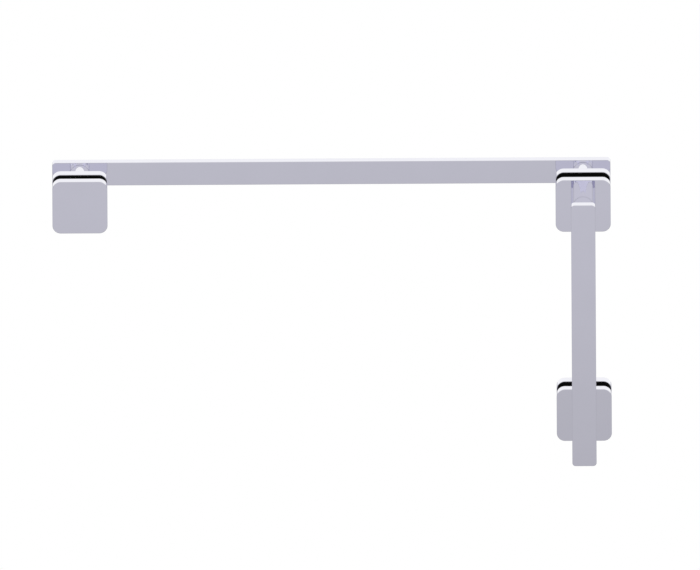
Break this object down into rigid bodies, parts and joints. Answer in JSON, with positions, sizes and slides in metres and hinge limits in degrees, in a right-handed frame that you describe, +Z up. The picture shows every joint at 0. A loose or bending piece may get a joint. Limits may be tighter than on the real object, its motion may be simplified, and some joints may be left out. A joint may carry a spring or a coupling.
{
  "type": "glass door towel bar",
  "caption": "Flat towel bar and flat pull handle back to back on a glass shower door, on round posts, with square clamp plates, black gaskets and blank covers.",
  "frame": {"origin": "middle of the fixing that the towel bar and the handle share, on the glass face that the towel bar's gaskets touch", "axes": "+X along the towel bar to the right, seen from the handle's side; +Y through the glass from the handle's side to the towel bar's side; +Z up"},
  "size_m": [0.5072, 0.1616, 0.2532],
  "materials": {
    "chrome": "polished",
    "gasket_rubber": "matt moulded",
    "sleeve_plastic": "natural moulded",
    "stud_steel": "turned"
  },
  "bodies": {
    "towel_half": {"towel_bar": "chrome", "towel_post_left": "chrome", "towel_post_right": "chrome", "towel_joining_studs": "stud_steel", "towel_post_set_screw": "stud_steel", "back_plate_left": "chrome", "back_plate_upper": "chrome", "back_gasket_left": "gasket_rubber", "back_gasket_upper": "gasket_rubber", "glass_sleeve_left": "sleeve_plastic", "glass_sleeve_upper": "sleeve_plastic", "shared_stud": "stud_steel"},
    "pull_handle": {"handle_bar": "chrome", "handle_post_upper": "chrome", "handle_post_lower": "chrome", "handle_joining_studs": "stud_steel", "handle_post_set_screws": "stud_steel", "front_plate_upper": "chrome", "front_plate_lower": "chrome", "front_spacer_upper": "gasket_rubber", "front_spacer_lower": "gasket_rubber", "front_gasket_upper": "gasket_rubber", "front_gasket_lower": "gasket_rubber"},
    "left_cover": {"front_cover_left": "chrome", "front_gasket_left": "gasket_rubber", "left_cover_stud": "stud_steel"},
    "lower_cover": {"back_cover_lower": "chrome", "back_gasket_lower": "gasket_rubber", "glass_sleeve_lower": "sleeve_plastic", "lower_cover_stud": "stud_steel"}
  },
  "joints": [
    {"name": "handle_clamp", "type": "slide", "parent": "towel_half", "child": "pull_handle", "axis": [0, -1, 0], "range_m": [0, 0.006]},
    {"name": "left_cover_clamp", "type": "slide", "parent": "towel_half", "child": "left_cover", "axis": [0, -1, 0], "range_m": [0, 0.006]},
    {"name": "lower_cover_clamp", "type": "slide", "parent": "pull_handle", "child": "lower_cover", "axis": [0, 1, 0], "range_m": [0, 0.006]}
  ],
  "couplings": [
    {"joint": "left_cover_clamp", "follows": "handle_clamp", "ratio": 1},
    {"joint": "lower_cover_clamp", "follows": "handle_clamp", "ratio": 1}
  ]
}
